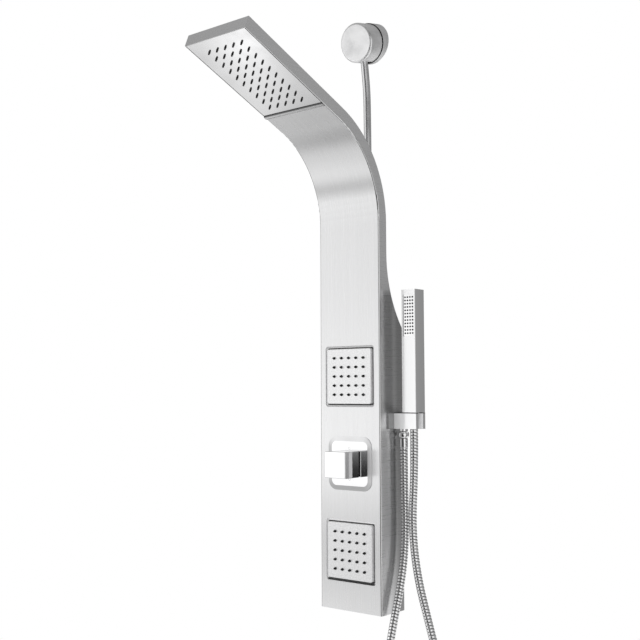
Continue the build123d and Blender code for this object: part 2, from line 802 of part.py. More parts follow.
with BuildPart() as washer:
    with BuildSketch(Plane.XY.offset(handset_foot - cone_length / 2)):
        with Locations((handset_axis_x, holder_middle_y)):
            Circle(outlet_pipe_radius)
            Circle(jet_bore_radius, mode=Mode.SUBTRACT)
    extrude(amount=-handset_wall)
save(washer, "hose_washer")

with BuildPart() as cone_nut:
    with BuildSketch(Plane.XY.offset(handset_foot)):
        with Locations((handset_axis_x, holder_middle_y)):
            Circle(cone_nut_top)
    with BuildSketch(Plane.XY.offset(handset_foot - cone_length)):
        with Locations((handset_axis_x, holder_middle_y)):
            Circle(cone_nut_foot)
    loft()
    with BuildSketch(Plane.XY.offset(handset_foot)):
        with Locations((handset_axis_x, holder_middle_y)):
            Circle(outlet_pipe_radius + running)
    extrude(amount=-(cone_length / 2 + handset_wall), mode=Mode.SUBTRACT)
save(cone_nut, "hose_cone_nut")

# ---------------------------------------------------------------- shower hose
swivel_top = holder_foot - outlet_neck_height
swivel_foot = swivel_top - outlet_nut_height
ferrule_foot = swivel_foot - ferrule_height

with BuildPart() as swivel_nut:
    with BuildSketch(Plane.XY.offset(swivel_top)):
        with Locations((outlet_x, holder_middle_y)):
            Circle(outlet_nut_radius)
    extrude(amount=-outlet_nut_height)
    rims = swivel_nut.edges().filter_by(GeomType.CIRCLE)
    fillet(rims, outlet_nut_height * 0.42)
save(swivel_nut, "hose_swivel_nut")

with BuildPart() as ferrule:
    with BuildSketch(Plane.XY.offset(swivel_foot)):
        with Locations((outlet_x, holder_middle_y)):
            Circle(ferrule_radius)
    extrude(amount=-ferrule_height)
    chamfer(ferrule.edges().group_by(Axis.Z)[0], ferrule_radius - hose_diameter / 2)
save(ferrule, "hose_ferrule")

# The hose hangs from the outlet in a long loop and rises to the handset.
hose_points = [
    (outlet_x, holder_middle_y, ferrule_foot),
    (outlet_x, holder_middle_y, -285),
    (88.5, -24.5, -375),
    (88, -33.5, -450),
    (88, -64.5, -535),
    (87, -86, -607),
    (79, -108, -678),
    (77, -125, -751),
    (98, -127, -824),
    (153, -105, -868),
    (217, -68, -859),
    (253, -36, -804),
    (242, -25, -730),
    (206, -28, -666),
    (166, -32, -604),
    (142, -26.5, -540),
    (115.5, -26, -452),
    (105, -26.5, -360),
    (handset_axis_x, holder_middle_y, -255),
    (handset_axis_x, holder_middle_y, holder_foot),
]


def corner_radii(points, share=0.45):
    """Arc radii at the inner points: as large as the two runs beside each allow."""
    radii = []
    for before, corner, after in zip(points, points[1:], points[2:]):
        run_in = Vector(corner) - Vector(before)
        run_out = Vector(after) - Vector(corner)
        half_turn = math.radians(run_in.get_angle(run_out) / 2)
        radii.append(share * min(run_in.length, run_out.length) / math.tan(half_turn))
    return radii


def tube(points, diameter, radii):
    """A round tube along straight runs joined by tangent arcs."""
    with BuildPart() as swept:
        with BuildLine():
            route = FilletPolyline(*points, radius=radii)
        with BuildSketch(Plane(origin=route @ 0, z_dir=route % 0)):
            Circle(diameter / 2)
        sweep(path=route)
    return swept, route.length


hose_radii = corner_radii(hose_points)
hose, hose_length = tube(hose_points, hose_diameter, hose_radii)
save(hose, "shower_hose")
print("hose length", round(hose_length, 1), "radii", [round(r) for r in hose_radii])
section = math.pi * hose_diameter**2 / 4
print("hose volume over section times length", round(hose.part.volume / (section * hose_length), 4))

# ----------------------------------------------------------- supply from wall
elbow_centre = Vector(0, -supply_elbow_depth, supply_height)
lean_cos = math.cos(math.radians(drum_lean))
lean_sin = math.sin(math.radians(drum_lean))
drum_ahead = Vector(0, -lean_cos, -lean_sin)
branch_down = Vector(0, lean_sin, -lean_cos)
drum_rear = drum_reach - drum_length
flange_front = drum_rear - drum_seam
flange_rear = -(supply_elbow_depth + wall_flange_radius) / lean_cos
spigot_radius = drum_radius - drum_wall - fit


def on_drum(along):
    """The plane across the drum's axis, this far in front of the elbow's centre."""
    return Plane(origin=elbow_centre + drum_ahead * along, x_dir=(1, 0, 0), z_dir=drum_ahead)


def on_branch(along):
    """The plane across the supply tube's first stretch, this far below the elbow's centre."""
    return Plane(origin=elbow_centre + branch_down * along, x_dir=(1, 0, 0), z_dir=branch_down)


with BuildPart() as wall_flange:
    with BuildSketch(on_drum(flange_front)):
        Circle(wall_flange_radius)
    extrude(amount=flange_rear - flange_front)
    fillet(wall_flange.edges().sort_by(Axis.Y)[0], wall_flange_edge)
    with BuildSketch(on_drum(flange_front - drum_wall)):
        Circle(wall_flange_radius - drum_wall)
    extrude(amount=flange_rear - flange_front, mode=Mode.SUBTRACT)
    # Spigot that carries the drum, open underneath for the tube
    with BuildSketch(on_drum(flange_front - drum_wall)):
        Circle(spigot_radius)
    extrude(amount=drum_wall + spigot_depth)
    with BuildSketch(on_drum(flange_front - drum_wall)):
        Circle(spigot_radius - drum_wall)
    extrude(amount=drum_wall + spigot_depth, mode=Mode.SUBTRACT)
    with BuildSketch(on_drum(flange_front)):
        with Locations((0, -spigot_radius)):
            Rectangle(supply_tube_diameter + 2 * fit, 4 * drum_wall)
    extrude(amount=2 * spigot_depth, mode=Mode.SUBTRACT)
    # The finished wall cuts the leaning flange off flush
    with BuildSketch(facing(0)):
        with Locations((0, supply_height)):
            Rectangle(4 * wall_flange_radius, 4 * wall_flange_radius)
    extrude(amount=-4 * wall_flange_radius, mode=Mode.SUBTRACT)
save(wall_flange, "wall_flange")

with BuildPart() as drum:
    with BuildSketch(on_drum(drum_rear)):
        Circle(drum_radius)
    extrude(amount=drum_length)
    fillet(drum.edges().sort_by(Axis.Y)[0], drum_edge)
    with BuildSketch(on_drum(drum_rear)):
        Circle(drum_radius - drum_wall)
    extrude(amount=drum_length - drum_wall, mode=Mode.SUBTRACT)
    # Slot in the underside for the supply tube
    with BuildSketch(on_branch(0)):
        slot_width = supply_tube_diameter + 2 * fit
        Circle(slot_width / 2)
        Rectangle(slot_width, -drum_rear, align=(Align.CENTER, Align.MAX))
    extrude(amount=2 * drum_radius, mode=Mode.SUBTRACT)
save(drum, "wall_drum")

with BuildPart() as supply_elbow:
    # Threaded socket at the wall, then a branch down to the tube
    with BuildSketch(facing(0)):
        with Locations((0, supply_height)):
            Circle(supply_body_radius)
    extrude(amount=supply_elbow_depth)
    with Locations(elbow_centre):
        Sphere(supply_body_radius)
    with BuildSketch(on_branch(0)):
        Circle(port_radius)
    extrude(amount=supply_branch)
    with BuildSketch(facing(0)):
        with Locations((0, supply_height)):
            Circle(supply_thread_radius)
    extrude(amount=supply_thread_length, mode=Mode.SUBTRACT)
    with BuildSketch(facing(0)):
        with Locations((0, supply_height)):
            Circle(jet_bore_radius)
    extrude(amount=supply_elbow_depth, mode=Mode.SUBTRACT)
    with BuildSketch(on_branch(0)):
        Circle(jet_bore_radius)
    extrude(amount=supply_branch, mode=Mode.SUBTRACT)
save(supply_elbow, "supply_elbow")

arm_hose_y = front_y + rain_hose_arm_inward
jet_hose_run = 30.0
supply_points = [
    tuple(on_branch(supply_branch).origin),
    tuple(on_branch(supply_branch + supply_straight).origin),
    (0, -20.4, supply_height - 98.5),
    (0, -18.8, supply_height - 208.5),
    (0, -19.5, 140),
    (-port_x, -30, 50),
    (-port_x, -31, -130),
    (-port_x, port_y, -178),
    (-port_x, port_y, port_top),
]
supply_tube, supply_length = tube(supply_points, supply_tube_diameter, corner_radii(supply_points))
save(supply_tube, "supply_tube")

# The rain hose climbs inside the arm, parallel to its bend.
bend_corner = arm_bend_radius + rain_hose_arm_inward
corner_rise = bend_corner * math.tan(math.radians(bend_angle / 2))
rain_points = [
    (port_x, port_y, port_top),
    (port_x, port_y, -180),
    (port_x, -33, -135),
    (port_x, -34, 10),
    (port_x, arm_hose_y, 125),
    (port_x, arm_hose_y, arm_bend_start + corner_rise),
    on_head(8, rain_hose_arm_inward, port_x),
    on_head(38, rain_hose_inward, port_x),
    on_head(inlet_near - rain_inlet_reach, rain_hose_inward, port_x),
]
rain_radii = corner_radii(rain_points)
rain_radii[4] = bend_corner - 1
rain_radii[5] = 40.0
rain_hose, rain_hose_length = tube(rain_points, inner_hose_diameter, rain_radii)
save(rain_hose, "rain_hose")

upper_port = jet_heights["upper"] - jet_elbow_drop
upper_points = [
    (0, port_y, port_top),
    (0, port_y, port_top + jet_hose_run),
    (0, jet_elbow_y, upper_port - jet_hose_run),
    (0, jet_elbow_y, upper_port),
]
upper_hose, upper_length = tube(upper_points, inner_hose_diameter, corner_radii(upper_points))
save(upper_hose, "jet_hose_upper")

lower_port = jet_heights["lower"] + jet_elbow_drop
lower_points = [
    (0, port_y, port_foot),
    (0, port_y, port_foot - jet_hose_run),
    (0, jet_elbow_y, lower_port + jet_hose_run),
    (0, jet_elbow_y, lower_port),
]
lower_hose, lower_length = tube(lower_points, inner_hose_diameter, corner_radii(lower_points))
save(lower_hose, "jet_hose_lower")

outlet_run = 9.0
outlet_points = [
    (outlet_elbow_x, port_y, diverter_height + port_height),
    (outlet_elbow_x, port_y, diverter_height + port_height + outlet_run),
    (outlet_elbow_x, holder_middle_y, holder_height - port_height - outlet_run),
    (outlet_elbow_x, holder_middle_y, holder_height - port_height),
]
outlet_hose, outlet_length = tube(outlet_points, inner_hose_diameter, corner_radii(outlet_points))
save(outlet_hose, "outlet_hose")

with BuildPart() as union_nuts:
    # One nut over each joint between an inner hose and its port
    joints = [
        upper_points[0],
        upper_points[-1],
        lower_points[0],
        lower_points[-1],
        rain_points[0],
        outlet_points[0],
        outlet_points[-1],
    ]
    for joint in joints:
        with BuildSketch(Plane.XY.offset(joint[2] - union_height / 2)):
            with Locations((joint[0], joint[1])):
                RegularPolygon(union_flats / 2, 6, major_radius=False)
                Circle(port_radius + running, mode=Mode.SUBTRACT)
        extrude(amount=union_height)
save(union_nuts, "union_nuts")

with BuildPart() as supply_nuts:
    for joint in (on_branch(supply_branch), Plane(supply_points[-1])):
        with BuildSketch(joint):
            RegularPolygon(union_flats / 2 + running, 6, major_radius=False)
            Circle(supply_tube_diameter / 2 + running, mode=Mode.SUBTRACT)
        extrude(amount=union_height / 2, both=True)
save(supply_nuts, "supply_nuts")

# ------------------------------------------------------------- wall brackets
def make_bracket(name, height):
    """A wall plate with two upturned hooks, and the shell's ears that hang on it."""
    hook_top = height + hook_height + bracket_sheet
    with BuildPart() as bracket:
        bar(
            (-bracket_x / 2, -bracket_sheet, height - bracket_z / 2),
            (bracket_x / 2, 0, height + bracket_z / 2),
        )
        for side in (-1, 1):
            left = side * hook_place - hook_x / 2
            right = side * hook_place + hook_x / 2
            bar((left, -hook_reach, height + hook_height), (right, 0, hook_top))
            bar(
                (left, -hook_reach, height + hook_height),
                (right, -hook_reach + bracket_sheet, hook_top + hook_rise),
            )
        with BuildSketch(facing(0)):
            for side in (-1, 1):
                with Locations((side * bracket_hole_spacing / 2, height)):
                    Circle(bracket_hole_radius)
        extrude(amount=bracket_sheet, mode=Mode.SUBTRACT)
    save(bracket, f"wall_bracket_{name}")

    with BuildPart() as ears:
        for side in (-1, 1):
            outer = side * inner_half
            web = side * (inner_half - ear_sheet)
            inner = side * (inner_half - ear_x)
            low = height - ear_z / 2
            high = height + ear_z / 2
            bar((min(outer, inner), -ear_depth, low), (max(outer, inner), -ear_depth + ear_sheet, high))
            bar((min(outer, web), -ear_depth - ear_x / 2, low), (max(outer, web), -ear_depth + ear_sheet, high))
            middle = side * hook_place
            bar(
                (middle - ear_slot_x / 2, -ear_depth, hook_top - ear_slot_z),
                (middle + ear_slot_x / 2, -ear_depth + ear_sheet, hook_top),
                mode=Mode.SUBTRACT,
            )
    save(ears, f"hanging_ears_{name}")


make_bracket("upper", 0.0)
make_bracket("lower", lower_bracket_height)
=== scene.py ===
import json
import math

import bpy
from mathutils import Matrix, Vector


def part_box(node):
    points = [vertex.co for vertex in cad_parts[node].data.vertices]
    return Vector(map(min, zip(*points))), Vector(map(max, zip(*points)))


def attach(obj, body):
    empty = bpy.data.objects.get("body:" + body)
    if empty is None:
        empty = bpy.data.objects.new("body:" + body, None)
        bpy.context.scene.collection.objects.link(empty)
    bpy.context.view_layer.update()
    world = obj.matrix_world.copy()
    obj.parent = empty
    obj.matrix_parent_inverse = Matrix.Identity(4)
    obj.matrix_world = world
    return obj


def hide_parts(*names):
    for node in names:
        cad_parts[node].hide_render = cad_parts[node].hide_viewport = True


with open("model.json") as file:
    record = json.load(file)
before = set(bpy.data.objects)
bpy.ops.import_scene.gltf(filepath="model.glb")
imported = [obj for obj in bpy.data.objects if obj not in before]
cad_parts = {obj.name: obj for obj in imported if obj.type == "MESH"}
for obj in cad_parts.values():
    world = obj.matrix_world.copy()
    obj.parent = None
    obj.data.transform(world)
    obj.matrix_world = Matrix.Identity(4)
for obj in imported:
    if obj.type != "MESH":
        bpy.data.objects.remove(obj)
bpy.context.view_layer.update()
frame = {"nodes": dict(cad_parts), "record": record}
nodes = frame["nodes"]
MM = 0.001

# ------------------------------------------------------------------- camera
CAMERA_PLACE = (1.2301, -1.6506, -0.1000)
CAMERA_YAW = 39.789
CAMERA_PITCH = -3.995
CAMERA_ROLL = -0.219
CAMERA_LENS = 56.98


def make_camera():
    """The camera stands to the right of the column and looks slightly up at it."""
    yaw = math.radians(CAMERA_YAW)
    pitch = math.radians(CAMERA_PITCH)
    roll = math.radians(CAMERA_ROLL)
    ahead = Vector(
        (-math.sin(yaw) * math.cos(pitch), math.cos(yaw) * math.cos(pitch), -math.sin(pitch))
    )
    level = Vector((math.cos(yaw), math.sin(yaw), 0.0))
    above = level.cross(ahead)
    right = level * math.cos(roll) + above * math.sin(roll)
    up = above * math.cos(roll) - level * math.sin(roll)
    data = bpy.data.cameras.new("camera")
    data.sensor_width = 36.0
    data.lens = CAMERA_LENS
    data.clip_start = 0.05
    data.clip_end = 60.0
    camera = bpy.data.objects.new("camera", data)
    turn = Matrix((right, up, -ahead)).transposed().to_4x4()
    camera.matrix_world = Matrix.Translation(CAMERA_PLACE) @ turn
    bpy.context.scene.collection.objects.link(camera)
    bpy.context.scene.camera = camera


# ---------------------------------------------------------- node tree helpers
# Most of a noise's values lie in this band
NOISE_SPAN = (0.3, 0.7)


def grey(value):
    """A neutral colour, a touch cool."""
    return (value, value, value * 1.005)


class Shader:
    """A material's node tree, with short calls for the nodes that repeat.

    What a call takes as a value is a plain number, vector or colour, or a node's output."""

    def __init__(self, name):
        self.material = bpy.data.materials.new(name)
        self.material.use_nodes = True
        self.tree = self.material.node_tree
        self.bsdf = self.tree.nodes["Principled BSDF"]

    def add(self, kind, **settings):
        """A node with its settings."""
        node = self.tree.nodes.new(kind)
        for key, value in settings.items():
            setattr(node, key, value)
        return node

    def feed(self, socket, value):
        """Links a node's output to a socket, or sets the socket to a plain value."""
        if isinstance(value, bpy.types.NodeSocket):
            self.tree.links.new(value, socket)
        else:
            socket.default_value = value

    def set(self, **values):
        """Feeds the surface's own sockets."""
        for key, value in values.items():
            self.feed(self.bsdf.inputs[key.replace("_", " ")], value)

    def place(self):
        """Where a point lies, in object coordinates."""
        return self.add("ShaderNodeTexCoord").outputs["Object"]

    def facing(self):
        """Which way a face looks."""
        return self.add("ShaderNodeNewGeometry").outputs["True Normal"]

    def axes(self, vector):
        """The X, Y and Z of a vector."""
        node = self.add("ShaderNodeSeparateXYZ")
        self.feed(node.inputs["Vector"], vector)
        return node.outputs

    def maths(self, operation, *values):
        """A number worked out from numbers."""
        node = self.add("ShaderNodeMath", operation=operation)
        for socket, value in zip(node.inputs, values):
            self.feed(socket, value)
        return node.outputs[0]

    def measure(self, operation, first, second):
        """A number worked out from two vectors: DOT_PRODUCT or DISTANCE."""
        node = self.add("ShaderNodeVectorMath", operation=operation)
        self.feed(node.inputs[0], first)
        self.feed(node.inputs[1], second)
        return node.outputs["Value"]

    def scaled(self, colour, share):
        """A colour times a number."""
        node = self.add("ShaderNodeVectorMath", operation="SCALE")
        self.feed(node.inputs[0], colour)
        self.feed(node.inputs["Scale"], share)
        return node.outputs[0]

    def ramp(self, source, low, high, start, end):
        """A number that goes from low to high while source goes from start to end."""
        node = self.add("ShaderNodeMapRange")
        self.feed(node.inputs["Value"], source)
        self.feed(node.inputs["From Min"], start)
        self.feed(node.inputs["From Max"], end)
        self.feed(node.inputs["To Min"], low)
        self.feed(node.inputs["To Max"], high)
        return node.outputs["Result"]

    def over(self, source, start, end):
        """0 where source is under start, rising to 1 where it is over end."""
        return self.ramp(source, 0.0, 1.0, start, end)

    def under(self, source, start, end):
        """1 where source is under start, falling to 0 where it is over end."""
        return self.ramp(source, 1.0, 0.0, start, end)

    def vary(self, noise, low, high):
        """A number that a noise spreads over low..high."""
        return self.ramp(noise, low, high, *NOISE_SPAN)

    def stops(self, source, places):
        """source, 0..1, mapped through (place, colour) stops with straight lines between them."""
        node = self.add("ShaderNodeValToRGB")
        elements = node.color_ramp.elements
        while len(elements) < len(places):
            elements.new(0.5)
        for element, (place, colour) in zip(elements, places):
            element.position = place
            element.color = (*colour, 1.0)
        self.feed(node.inputs["Fac"], source)
        return node.outputs["Color"]

    def tint(self, noise, low, high, span=NOISE_SPAN):
        """A colour that a noise spreads over low..high."""
        return self.stops(noise, list(zip(span, (low, high))))

    def greys(self, noise, low, high):
        """A grey that a noise spreads over low..high."""
        return self.tint(noise, grey(low), grey(high))

    def mix(self, share, first, second, kind="FLOAT"):
        """first where share is 0, second where it is 1."""
        node = self.add("ShaderNodeMix", data_type=kind)
        sockets = {"FLOAT": (0, 2, 3, 0), "VECTOR": (0, 4, 5, 1), "RGBA": (0, 6, 7, 2)}[kind]
        for socket, value in zip(sockets[:3], (share, first, second)):
            self.feed(node.inputs[socket], value)
        return node.outputs[sockets[3]]

    def blend(self, share, first, second):
        """Mixes two tones, each of them the number of a grey or a node's output."""
        tones = []
        for tone in (first, second):
            known = isinstance(tone, bpy.types.NodeSocket)
            tones.append(tone if known else (*grey(tone), 1.0))
        return self.mix(share, *tones, "RGBA")

    def noise(self, scale, detail=2.0, roughness=0.5):
        """Noise with one scale, or with one for each axis."""
        mapping = self.add("ShaderNodeMapping")
        self.feed(mapping.inputs["Vector"], self.place())
        self.feed(mapping.inputs["Scale"], scale if isinstance(scale, tuple) else (scale,) * 3)
        noise = self.add("ShaderNodeTexNoise")
        self.feed(noise.inputs["Vector"], mapping.outputs["Vector"])
        self.feed(noise.inputs["Scale"], 1.0)
        self.feed(noise.inputs["Detail"], detail)
        self.feed(noise.inputs["Roughness"], roughness)
        return noise.outputs["Fac"]

    def haze(self):
        """The faint clouds on polished metal."""
        return self.noise(30, 3)

    def bump(self, height, strength, distance):
        """Raises and sinks the surface by a height."""
        node = self.add("ShaderNodeBump")
        self.feed(node.inputs["Strength"], strength)
        self.feed(node.inputs["Distance"], distance)
        self.feed(node.inputs["Height"], height)
        self.set(Normal=node.outputs["Normal"])


# ---------------------------------------------------------- general materials
# Painted shade and painted light on the satin faces that look down and up, where these are less
# metallic than the front
DOWN_PAINTED_SHADE = 0.35
UP_PAINTED_LIGHT = 1.0


def polished(name, light, rough=0.05):
    """Polished chrome with a faint haze."""
    shader = Shader(name)
    haze = shader.haze()
    shader.set(
        Base_Color=shader.greys(haze, light * 0.97, light),
        Roughness=shader.vary(haze, rough * 0.7, rough * 1.3),
        Metallic=1.0,
    )
    return shader.material


def satin(name, light, rough, grain=420, sides=1.0):
    """Bead-blasted metal: a fine mottle in colour and surface.

    sides is how metallic the faces are that don't look ahead. Where it is below 1, faces that look
    down take painted shade as well, and those that look up take painted light."""
    shader = Shader(name)
    facing = shader.axes(shader.facing())
    skin = shader.greys(shader.noise(grain, 3, 0.6), light * 0.84, light * 1.09)
    if sides < 1:
        # Painted shade on faces that look down, painted light on faces that look up
        down = shader.under(facing["Z"], -0.9, -0.5)
        up = shader.over(facing["Z"], 0.5, 0.9)
        skin = shader.blend(down, skin, DOWN_PAINTED_SHADE)
        skin = shader.blend(up, skin, UP_PAINTED_LIGHT)
    speck = shader.noise(1500)
    shader.set(
        Base_Color=skin,
        Roughness=shader.vary(speck, rough * 0.85, rough * 1.15),
        Metallic=shader.ramp(facing["Y"], 1.0, sides, -0.95, -0.8),
    )
    shader.bump(speck, 0.25, 0.00006)
    return shader.material


def rubber(name, dark, rough=0.55):
    """Moulded silicone or rubber."""
    shader = Shader(name)
    skin = shader.noise(900)
    shader.set(
        Base_Color=shader.greys(skin, dark * 0.8, dark * 1.25),
        Roughness=shader.vary(skin, rough * 0.9, rough * 1.1),
        Specular_IOR_Level=0.25,
    )
    shader.bump(skin, 0.15, 0.00005)
    return shader.material


def moulded(name, dark):
    """Moulded plastic with a fine grain."""
    shader = Shader(name)
    skin = shader.noise(700, 3)
    shader.set(
        Base_Color=shader.greys(skin, dark * 0.85, dark * 1.15),
        Roughness=shader.vary(skin, 0.42, 0.55),
    )
    shader.bump(skin, 0.2, 0.00008)
    return shader.material


def brass(name):
    """Machined brass with turning marks."""
    shader = Shader(name)
    marks = shader.noise((40, 40, 1400))
    dull = (0.62, 0.46, 0.20)
    bright = (0.80, 0.62, 0.32)
    shader.set(
        Base_Color=shader.tint(marks, dull, bright),
        Roughness=shader.vary(marks, 0.22, 0.36),
        Metallic=1.0,
    )
    shader.bump(marks, 0.2, 0.00005)
    return shader.material


def braided(name, light, dark):
    """Braided jacket of an inner hose."""
    shader = Shader(name)
    weave = shader.add("ShaderNodeTexWave", wave_type="BANDS", bands_direction="DIAGONAL")
    shader.feed(weave.inputs["Vector"], shader.place())
    shader.feed(weave.inputs["Scale"], 320.0)
    shader.feed(weave.inputs["Distortion"], 1.5)
    strands = weave.outputs["Fac"]
    shader.set(
        Base_Color=shader.tint(strands, grey(dark), grey(light), (0.2, 0.8)),
        Roughness=0.4,
        Metallic=0.6,
    )
    shader.bump(strands, 0.4, 0.0003)
    return shader.material


# -------------------------------------------------------------- brushed sheet
# Tone of the sheet by how far it faces right: left side, left bend, face, right bend, right side;
# the darker bends are painted shade lines
SHEET_PAINTED_SHADES = [
    (0.0, 1.0),
    (0.008, 1.0),
    (0.02, 0.40),
    (0.46, 0.40),
    (0.49, 1.0),
    (0.51, 1.0),
    (0.525, 0.22),
    (0.64, 0.22),
    (0.70, 1.0),
    (1.0, 1.0),
]
BEND_ROUGHNESS = 0.10
# Painted shade: the sides darken towards the wall, along this stretch of Y
SIDE_REAR_SHADE_SPAN = (-0.056, -0.026)
SIDE_REAR_PAINTED_SHADE = 0.42
# Painted shade: beside the handset their front is darkened as well, because it would mirror the
# handset's pale front
SIDE_FRONT_SHADE_SPAN = (-0.080, -0.067)
SIDE_FRONT_PAINTED_SHADE = 0.50
# Painted shade on the arm's underside
ARM_PAINTED_SHADE = 0.90


def handset_shade_band(shader, height):
    """1 on the handset's height, fading out at its ends: where the sides' front takes painted
    shade.
    """
    low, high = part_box("handset_body")
    foot = low[2]
    top = high[2]
    above_foot = shader.over(height, foot - 0.03, foot)
    below_top = shader.under(height, top - 0.02, top + 0.01)
    return shader.maths("MULTIPLY", above_foot, below_top)


def brushed_steel(name, light, rough):
    """Steel brushed along the panel's length, its sides from front to rear; the bends shine and
    carry painted shade, as do the arm's underside and parts of the sides.
    """
    shader = Shader(name)
    place = shader.axes(shader.place())
    facing = shader.axes(shader.facing())
    turn = shader.maths("ABSOLUTE", facing["X"])
    side = shader.over(turn, 0.7, 0.9)
    bend = shader.maths("MULTIPLY", shader.over(turn, 0.10, 0.22), shader.under(turn, 0.95, 0.99))
    fine = shader.mix(side, shader.noise((1500, 9, 9), 3), shader.noise((9, 14, 1500), 3))
    broad = shader.mix(side, shader.noise((220, 2.2, 2.2)), shader.noise((2, 3, 240)))
    grain = shader.mix(0.3, fine, broad)
    rightness = shader.over(facing["X"], -1.0, 1.0)
    # Painted shade lines on the bends
    painted_bend_shade = shader.stops(rightness, [(at, (tone, tone, tone)) for at, tone in SHEET_PAINTED_SHADES])
    # Painted shade on the sides towards the wall
    rear = shader.mix(side, 1.0, shader.ramp(place["Y"], 1.0, SIDE_REAR_PAINTED_SHADE, *SIDE_REAR_SHADE_SPAN))
    # Painted shade on the sides' front beside the handset
    front = shader.mix(side, 1.0, shader.ramp(place["Y"], SIDE_FRONT_PAINTED_SHADE, 1.0, *SIDE_FRONT_SHADE_SPAN))
    front = shader.mix(handset_shade_band(shader, place["Z"]), 1.0, front)
    # Painted shade: the arm's underside is a little darker than the face
    arm = shader.ramp(facing["Z"], ARM_PAINTED_SHADE, 1.0, -0.30, -0.03)
    shade = painted_bend_shade
    for share in (arm, rear, front):
        shade = shader.maths("MULTIPLY", shade, share)
    shader.set(
        Base_Color=shader.scaled(shader.greys(grain, light * 0.95, light * 1.03), shade),
        Roughness=shader.mix(bend, shader.vary(fine, rough * 0.88, rough * 1.12), BEND_ROUGHNESS),
        Metallic=1.0,
        Anisotropic=0.75,
        Tangent=shader.mix(side, (1.0, 0.0, 0.0), (0.0, 0.0, 1.0), "VECTOR"),
    )
    shader.bump(fine, 0.10, 0.00005)
    return shader.material


# ----------------------------------------------------- single pieces' materials
SHADE_TONE = 0.03
# Painted light on the front of the handset and holder, painted shade on their left side
FRONT_PAINTED_LIGHT = 0.97
LEFT_PAINTED_SHADE = 0.70
# The holder's upper edge is in the shade over this height
HOLDER_LINE = 0.0016
TRIM_LEAN = 22.3
DRUM_LEAN = 12.0
DRUM_SEAM = 0.0014
# Engraved rings: above and below the middle, radius, and half of the line's width as it fades
MARK_RISE = 0.030
MARK_RADIUS = 0.0022
MARK_EDGE = (0.0003, 0.0006)
MARK_TONE = 0.6
# Painted light and shade: the bevel is pale where it faces this way, and dark where it faces away
# from it
BEVEL_UP = (0.5, 0.0, 1.0)
BEVEL_SPAN = (-0.12, 0.12)
BEVEL_PAINTED_TONES = (0.46, 0.82)


def recess(name, light):
    """Pressed bright sheet behind the jets, dulled by water."""
    shader = Shader(name)
    stain = shader.noise(60, 3)
    shader.set(
        Base_Color=shader.greys(stain, light * 0.92, light),
        Roughness=shader.vary(stain, 0.44, 0.56),
        Metallic=0.1,
    )
    return shader.material


def extent(node, direction):
    """The lowest and highest reach of a CAD node along a direction."""
    places = [vertex.co.dot(direction) for vertex in nodes[node].data.vertices]
    return min(places), max(places)


def bead(name, light, dark):
    """Polished trim strip, with the shadow lines where it lies on the sheet."""
    shader = Shader(name)
    lean = math.radians(TRIM_LEAN)
    along = Vector((0.0, -math.cos(lean), math.sin(lean)))
    low, high = extent("rain_trim", along)
    middle = (low + high) / 2
    half = (high - low) / 2
    across = shader.measure("DOT_PRODUCT", shader.place(), along)
    off = shader.maths("SUBTRACT", across, middle)
    outer = shader.over(off, half * 0.55, half * 0.72)
    inner = shader.under(off, -half * 0.66, -half * 0.42)
    shader.set(
        Base_Color=shader.blend(shader.maths("MAXIMUM", outer, inner), light, dark),
        Roughness=shader.vary(shader.noise(60), 0.18, 0.28),
        Metallic=1.0,
    )
    return shader.material


def fronted(name, light, top, line=None):
    """Polished chrome, painted paler on its front and painted darker on its left side.

    Its upward faces, and what is above line, take the tone top, a painted shade."""
    shader = Shader(name)
    haze = shader.haze()
    facing = shader.axes(shader.facing())
    up = shader.over(facing["Z"], 0.15, 0.5)
    front = shader.under(facing["Y"], -0.97, -0.9)
    left = shader.under(facing["X"], -0.95, -0.8)
    # Painted light on the front, which is less metallic, and painted shade on the left side
    plain = shader.blend(front, shader.blend(left, light, LEFT_PAINTED_SHADE), FRONT_PAINTED_LIGHT)
    if line is not None:
        # Painted shade above line
        height = shader.axes(shader.place())["Z"]
        above = shader.over(height, line - 0.0003, line + 0.0001)
        plain = shader.blend(above, plain, top)
    shader.set(
        # Painted shade on the upward faces
        Base_Color=shader.blend(up, plain, top),
        Roughness=shader.mix(front, shader.vary(haze, 0.04, 0.07), shader.vary(haze, 0.10, 0.14)),
        Metallic=shader.mix(front, 1.0, 0.30),
    )
    return shader.material


def seamed(name, light, rough):
    """The wall flange: its spigot and front edge, in the seam behind the drum, are in the shade."""
    shader = Shader(name)
    haze = shader.haze()
    lean = math.radians(DRUM_LEAN)
    ahead = Vector((0.0, -math.cos(lean), -math.sin(lean)))
    seam = extent("wall_drum", ahead)[0] - DRUM_SEAM
    along = shader.measure("DOT_PRODUCT", shader.place(), ahead)
    # The shade takes in the flange's front edge
    shaded = shader.over(along, seam - 0.0012, seam - 0.0009)
    shader.set(
        Base_Color=shader.blend(shaded, light, SHADE_TONE),
        Roughness=shader.vary(haze, rough * 0.7, rough * 1.3),
        Metallic=1.0,
    )
    return shader.material


def engraved_ring(shader, centre):
    """1 on a small ring round a centre."""
    off = shader.maths("SUBTRACT", shader.measure("DISTANCE", shader.place(), centre), MARK_RADIUS)
    return shader.under(shader.maths("ABSOLUTE", off), *MARK_EDGE)


